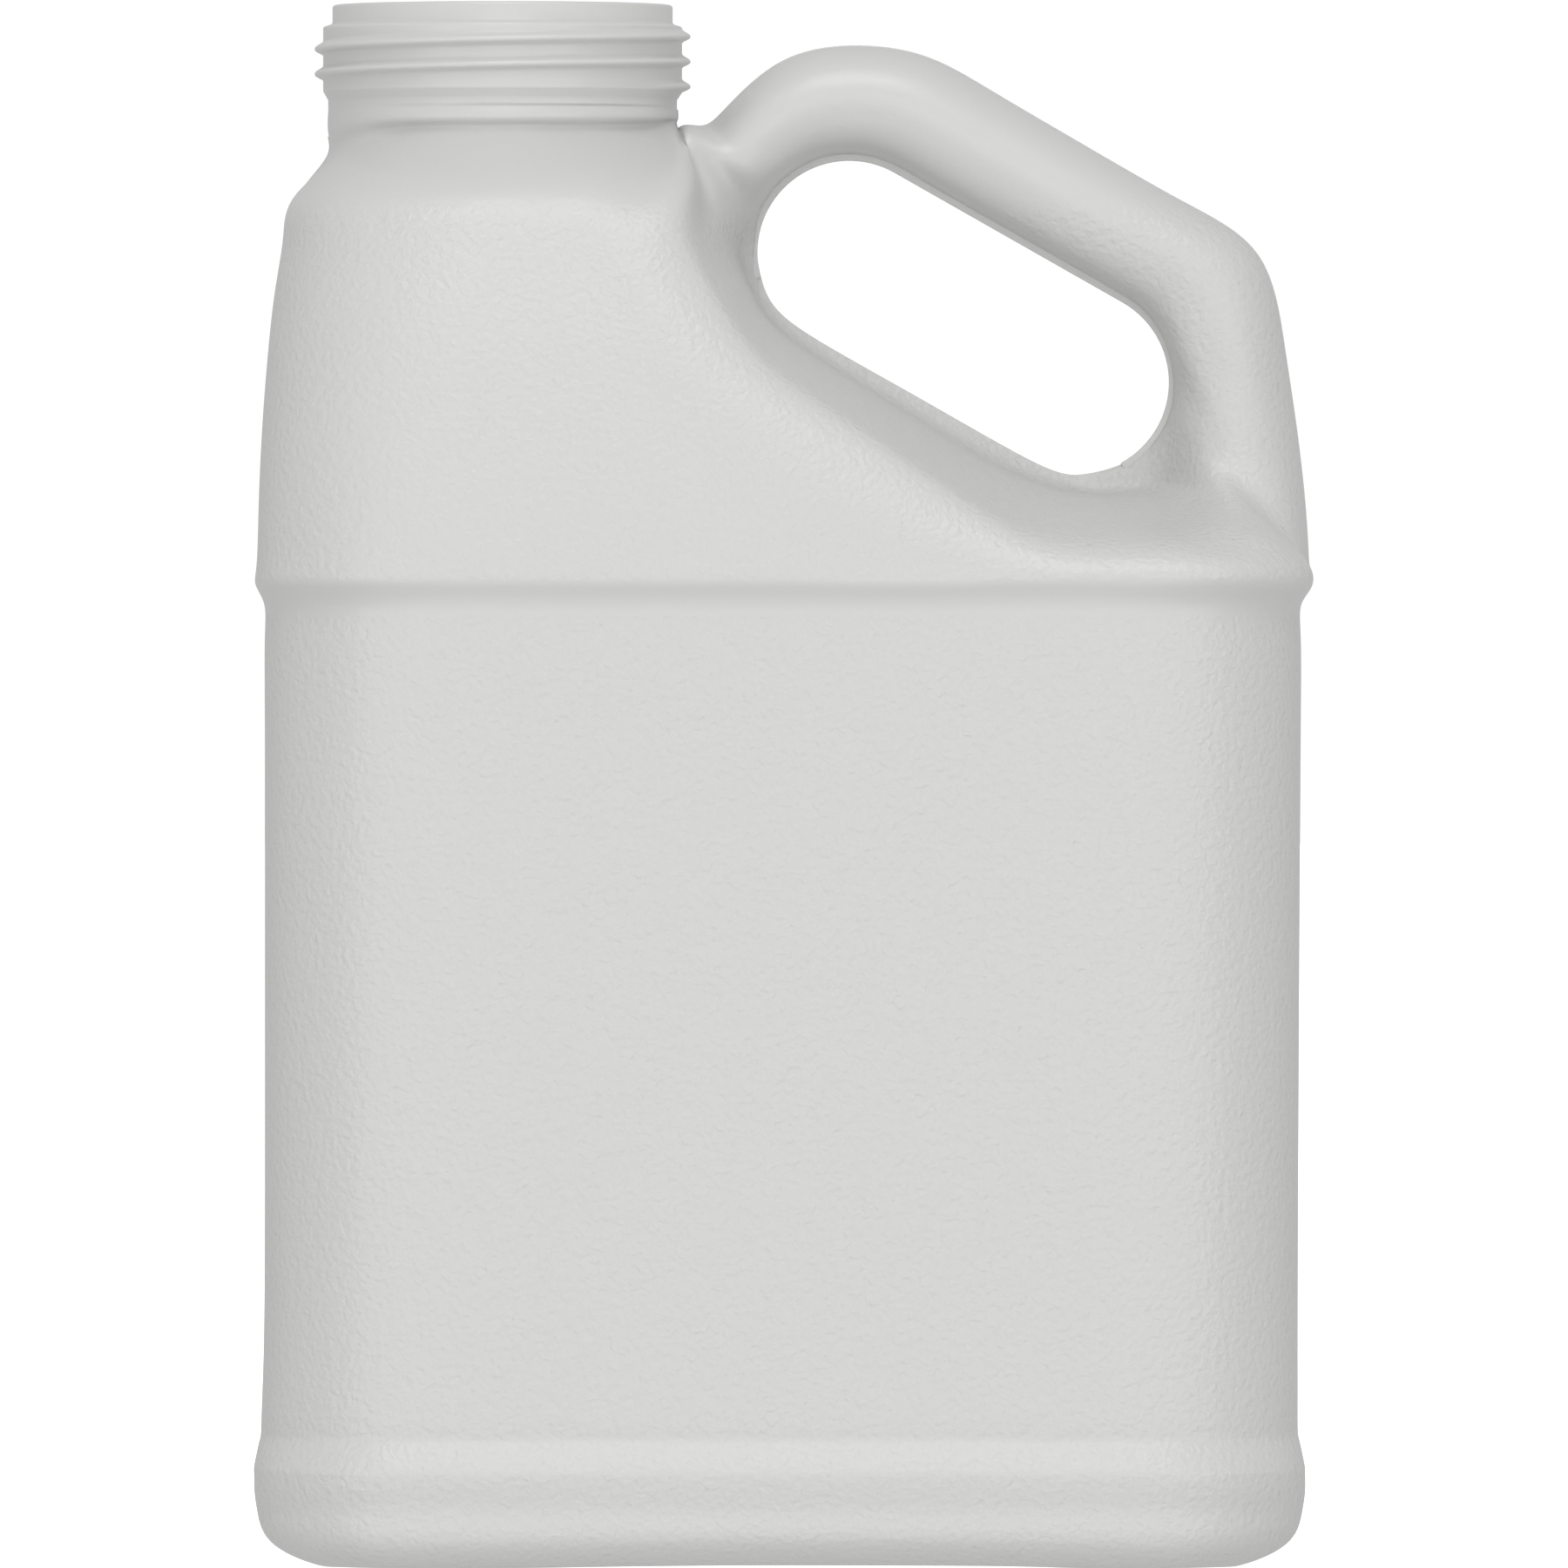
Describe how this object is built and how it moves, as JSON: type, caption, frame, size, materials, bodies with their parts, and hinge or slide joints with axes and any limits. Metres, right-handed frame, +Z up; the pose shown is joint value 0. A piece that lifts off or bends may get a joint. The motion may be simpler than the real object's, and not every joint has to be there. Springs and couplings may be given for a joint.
{
  "type": "f-style jug",
  "caption": "Empty f-style jug with a wide screw neck at one side and a slanted hollow handle with a hand hole at the other.",
  "frame": {"origin": "on the floor, in the middle of the jug's box", "axes": "+Z up, through the base to the rim; +X across the front towards the handle; +Y from front to back"},
  "size_m": [0.1745, 0.1248, 0.2577],
  "materials": {
    "natural_polyethylene": "milky translucent, fine sand grain with a satin sheen"
  },
  "bodies": {
    "root": {"jug": "natural_polyethylene"}
  },
  "joints": []
}
